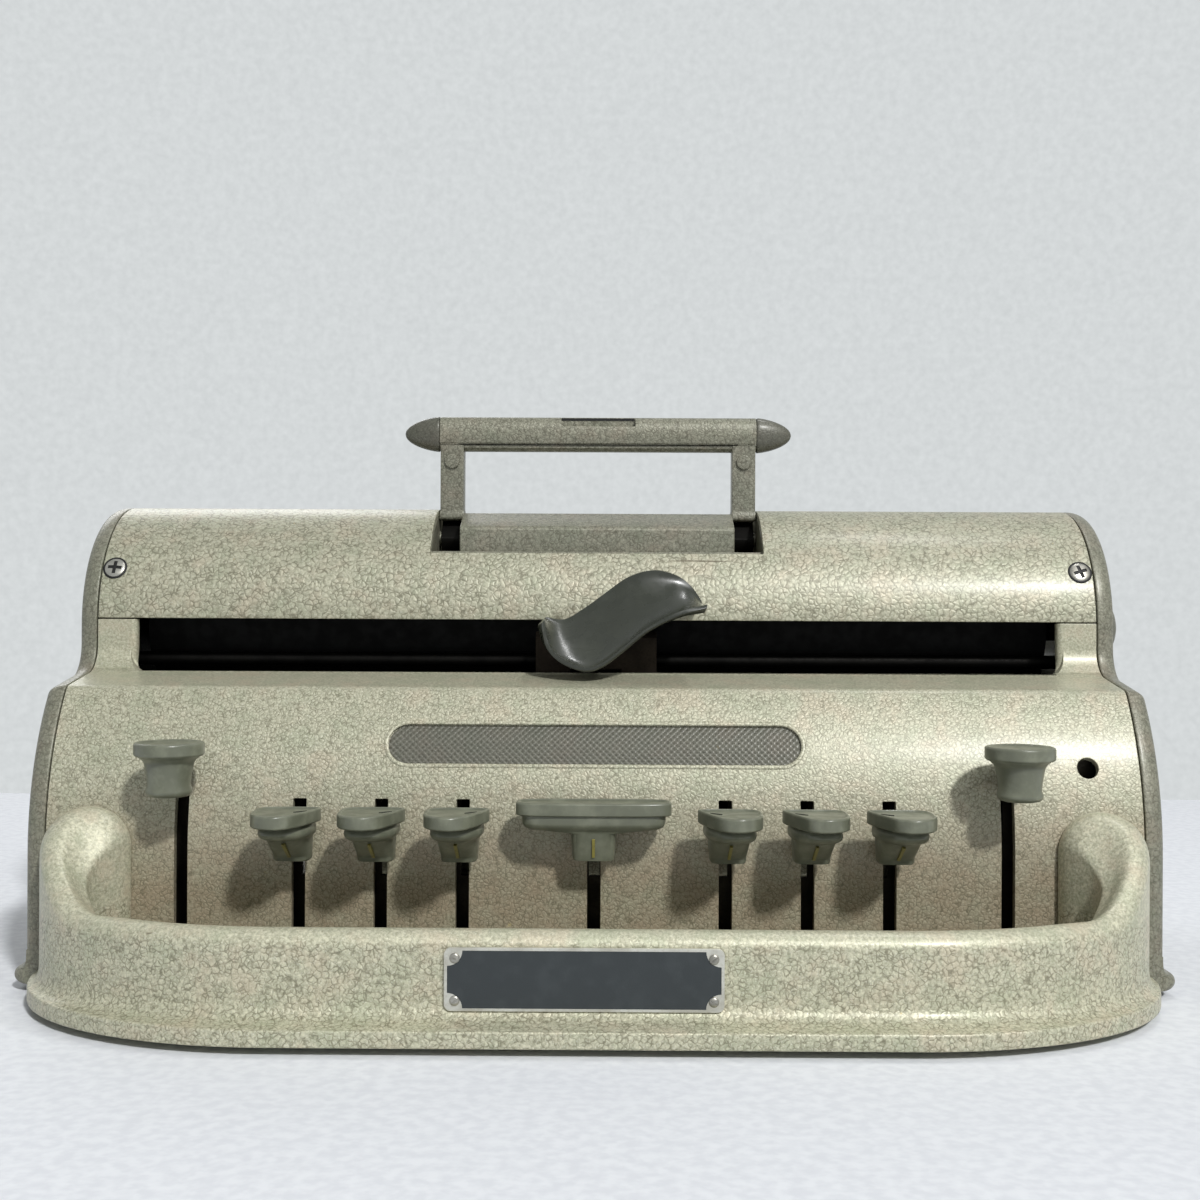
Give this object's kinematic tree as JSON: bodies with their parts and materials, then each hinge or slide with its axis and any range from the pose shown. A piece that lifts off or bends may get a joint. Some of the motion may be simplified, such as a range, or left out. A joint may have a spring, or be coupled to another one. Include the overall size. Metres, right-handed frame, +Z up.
{
  "type": "manual braille writer",
  "caption": "Mechanical braille writer: cast casing with keys behind a curved guard rail, a sliding embossing carriage with a curved lever, feed knobs and a folding handle.",
  "frame": {"origin": "on the table, below the middle of the machine's box", "axes": "+X to the right seen from the keys, along the machine's length; +Y from the keys to the back; +Z up"},
  "size_m": [0.394, 0.229, 0.196],
  "materials": {
    "enamel": "hammertone enamel on a casting, glossy with darker cell outlines",
    "key_enamel": "smooth grey-green enamel, satin",
    "lever_enamel": "smooth dark grey-green enamel, satin gloss",
    "steel": "plain machined steel",
    "dark_steel": "blackened steel",
    "slate": "etched plate with a slate field and a bare bright border",
    "rubber": "moulded rubber",
    "knob": "moulded dark grip with fluted sides"
  },
  "bodies": {
    "frame": {"left_end_plate": "enamel", "right_end_plate": "enamel", "front_guard": "enamel", "front_cover": "enamel", "top_cover": "enamel", "rear_cover": "enamel", "base_plate": "enamel", "handle_bracket": "enamel", "cover_screws": "steel", "guard_plate": "slate", "guard_plate_screws": "steel", "rubber_feet": "rubber", "carriage_rods": "steel", "escapement_rack": "steel", "key_shaft": "steel", "key_comb": "steel", "key_springs": "dark_steel", "margin_rail": "steel", "bell": "steel"},
    "handle": {"carry_handle": "enamel"},
    "carriage": {"carriage": "dark_steel"},
    "head_lever": {"head_lever": "lever_enamel"},
    "roller": {"paper_roller": "rubber", "feed_knobs": "knob", "line_ratchet": "steel"},
    "release": {"paper_release": "steel"},
    "left_stop": {"left_margin_stop": "steel"},
    "right_stop": {"right_margin_stop": "steel"},
    "drum": {"mainspring_drum": "steel"},
    "rest": {"reading_rest": "enamel"},
    "dot_key_1": {"dot_1_cap": "key_enamel", "dot_1_lever": "steel"},
    "dot_key_2": {"dot_2_cap": "key_enamel", "dot_2_lever": "steel"},
    "dot_key_3": {"dot_3_cap": "key_enamel", "dot_3_lever": "steel"},
    "dot_key_4": {"dot_4_cap": "key_enamel", "dot_4_lever": "steel"},
    "dot_key_5": {"dot_5_cap": "key_enamel", "dot_5_lever": "steel"},
    "dot_key_6": {"dot_6_cap": "key_enamel", "dot_6_lever": "steel"},
    "space_key": {"space_cap": "key_enamel", "space_lever": "steel"},
    "line_key": {"line_key_cap": "key_enamel", "line_key_lever": "steel"},
    "back_key": {"back_key_cap": "key_enamel", "back_key_lever": "steel"},
    "bar_1": {"emboss_bar_1": "steel"},
    "bar_2": {"emboss_bar_2": "steel"},
    "bar_3": {"emboss_bar_3": "steel"},
    "bar_4": {"emboss_bar_4": "steel"},
    "bar_5": {"emboss_bar_5": "steel"},
    "bar_6": {"emboss_bar_6": "steel"},
    "pin_1": {"emboss_pin_1": "steel"},
    "pin_2": {"emboss_pin_2": "steel"},
    "pin_3": {"emboss_pin_3": "steel"},
    "pin_4": {"emboss_pin_4": "steel"},
    "pin_5": {"emboss_pin_5": "steel"},
    "pin_6": {"emboss_pin_6": "steel"}
  },
  "joints": [
    {"name": "dot_1_press", "type": "hinge", "parent": "frame", "child": "dot_key_1", "pos_m": [0, -0.0085, 0.066], "axis": [1, 0, 0], "range_deg": [0, 9], "stiffness_Nm_per_rad": 1, "springref_deg": -11.46},
    {"name": "dot_2_press", "type": "hinge", "parent": "frame", "child": "dot_key_2", "pos_m": [0, -0.0085, 0.066], "axis": [1, 0, 0], "range_deg": [0, 9], "stiffness_Nm_per_rad": 1, "springref_deg": -11.46},
    {"name": "dot_3_press", "type": "hinge", "parent": "frame", "child": "dot_key_3", "pos_m": [0, -0.0085, 0.066], "axis": [1, 0, 0], "range_deg": [0, 9], "stiffness_Nm_per_rad": 1, "springref_deg": -11.46},
    {"name": "dot_4_press", "type": "hinge", "parent": "frame", "child": "dot_key_4", "pos_m": [0, -0.0085, 0.066], "axis": [1, 0, 0], "range_deg": [0, 9], "stiffness_Nm_per_rad": 1, "springref_deg": -11.46},
    {"name": "dot_5_press", "type": "hinge", "parent": "frame", "child": "dot_key_5", "pos_m": [0, -0.0085, 0.066], "axis": [1, 0, 0], "range_deg": [0, 9], "stiffness_Nm_per_rad": 1, "springref_deg": -11.46},
    {"name": "dot_6_press", "type": "hinge", "parent": "frame", "child": "dot_key_6", "pos_m": [0, -0.0085, 0.066], "axis": [1, 0, 0], "range_deg": [0, 9], "stiffness_Nm_per_rad": 1, "springref_deg": -11.46},
    {"name": "space_press", "type": "hinge", "parent": "frame", "child": "space_key", "pos_m": [0, -0.0085, 0.066], "axis": [1, 0, 0], "range_deg": [0, 9], "stiffness_Nm_per_rad": 1, "springref_deg": -11.46},
    {"name": "line_press", "type": "hinge", "parent": "frame", "child": "line_key", "pos_m": [0, -0.0085, 0.066], "axis": [1, 0, 0], "range_deg": [0, 9], "stiffness_Nm_per_rad": 1, "springref_deg": -11.46},
    {"name": "back_press", "type": "hinge", "parent": "frame", "child": "back_key", "pos_m": [0, -0.0085, 0.066], "axis": [1, 0, 0], "range_deg": [0, 9], "stiffness_Nm_per_rad": 1, "springref_deg": -11.46},
    {"name": "bar_1_lift", "type": "slide", "parent": "frame", "child": "bar_1", "axis": [0, 0, 1], "range_m": [0, 0.00167]},
    {"name": "bar_2_lift", "type": "slide", "parent": "frame", "child": "bar_2", "axis": [0, 0, 1], "range_m": [0, 0.00208]},
    {"name": "bar_3_lift", "type": "slide", "parent": "frame", "child": "bar_3", "axis": [0, 0, 1], "range_m": [0, 0.00249]},
    {"name": "bar_4_lift", "type": "slide", "parent": "frame", "child": "bar_4", "axis": [0, 0, 1], "range_m": [0, 0.0029]},
    {"name": "bar_5_lift", "type": "slide", "parent": "frame", "child": "bar_5", "axis": [0, 0, 1], "range_m": [0, 0.0033]},
    {"name": "bar_6_lift", "type": "slide", "parent": "frame", "child": "bar_6", "axis": [0, 0, 1], "range_m": [0, 0.00371]},
    {"name": "carriage_slide", "type": "slide", "parent": "frame", "child": "carriage", "axis": [1, 0, 0], "range_m": [-0.127, 0.127]},
    {"name": "pin_1_lift", "type": "slide", "parent": "carriage", "child": "pin_1", "axis": [0, 0, 1], "range_m": [0, 0.00167]},
    {"name": "pin_2_lift", "type": "slide", "parent": "carriage", "child": "pin_2", "axis": [0, 0, 1], "range_m": [0, 0.00208]},
    {"name": "pin_3_lift", "type": "slide", "parent": "carriage", "child": "pin_3", "axis": [0, 0, 1], "range_m": [0, 0.00249]},
    {"name": "pin_4_lift", "type": "slide", "parent": "carriage", "child": "pin_4", "axis": [0, 0, 1], "range_m": [0, 0.0029]},
    {"name": "pin_5_lift", "type": "slide", "parent": "carriage", "child": "pin_5", "axis": [0, 0, 1], "range_m": [0, 0.0033]},
    {"name": "pin_6_lift", "type": "slide", "parent": "carriage", "child": "pin_6", "axis": [0, 0, 1], "range_m": [0, 0.00371]},
    {"name": "head_lever_tip", "type": "hinge", "parent": "carriage", "child": "head_lever", "pos_m": [-0.0015, -0.004, 0.109], "axis": [0, 1, 0], "range_deg": [0, 6], "stiffness_Nm_per_rad": 0.5, "springref_deg": -17.19},
    {"name": "handle_fold", "type": "hinge", "parent": "frame", "child": "handle", "pos_m": [0, 0.04, 0.15], "axis": [1, 0, 0], "range_deg": [0, 92]},
    {"name": "roller_turn", "type": "hinge", "parent": "frame", "child": "roller", "pos_m": [0, 0.0438, 0.1172], "axis": [1, 0, 0], "continuous": true},
    {"name": "release_pull", "type": "hinge", "parent": "frame", "child": "release", "pos_m": [0, 0.072, 0.098], "axis": [1, 0, 0], "range_deg": [0, 30]},
    {"name": "rest_open", "type": "hinge", "parent": "frame", "child": "rest", "pos_m": [0, 0.09074, 0.101], "axis": [-1, 0, 0], "range_deg": [0, 75]},
    {"name": "left_stop_slide", "type": "slide", "parent": "frame", "child": "left_stop", "axis": [1, 0, 0], "range_m": [-0.025, 0.1]},
    {"name": "right_stop_slide", "type": "slide", "parent": "frame", "child": "right_stop", "axis": [1, 0, 0], "range_m": [-0.1, 0.025]},
    {"name": "drum_turn", "type": "hinge", "parent": "frame", "child": "drum", "pos_m": [0.12, 0.064, 0.012], "axis": [0, 0, 1], "range_deg": [-335, 335]}
  ],
  "couplings": [
    {"joint": "bar_1_lift", "follows": "dot_1_press", "m_per_rad": 0.01},
    {"joint": "bar_2_lift", "follows": "dot_2_press", "m_per_rad": 0.0126},
    {"joint": "bar_3_lift", "follows": "dot_3_press", "m_per_rad": 0.0152},
    {"joint": "bar_4_lift", "follows": "dot_4_press", "m_per_rad": 0.0178},
    {"joint": "bar_5_lift", "follows": "dot_5_press", "m_per_rad": 0.0204},
    {"joint": "bar_6_lift", "follows": "dot_6_press", "m_per_rad": 0.023},
    {"joint": "pin_1_lift", "follows": "dot_1_press", "m_per_rad": 0.01},
    {"joint": "pin_2_lift", "follows": "dot_2_press", "m_per_rad": 0.0126},
    {"joint": "pin_3_lift", "follows": "dot_3_press", "m_per_rad": 0.0152},
    {"joint": "pin_4_lift", "follows": "dot_4_press", "m_per_rad": 0.0178},
    {"joint": "pin_5_lift", "follows": "dot_5_press", "m_per_rad": 0.0204},
    {"joint": "pin_6_lift", "follows": "dot_6_press", "m_per_rad": 0.023},
    {"joint": "drum_turn", "follows": "carriage_slide", "rad_per_m": -45.45}
  ]
}
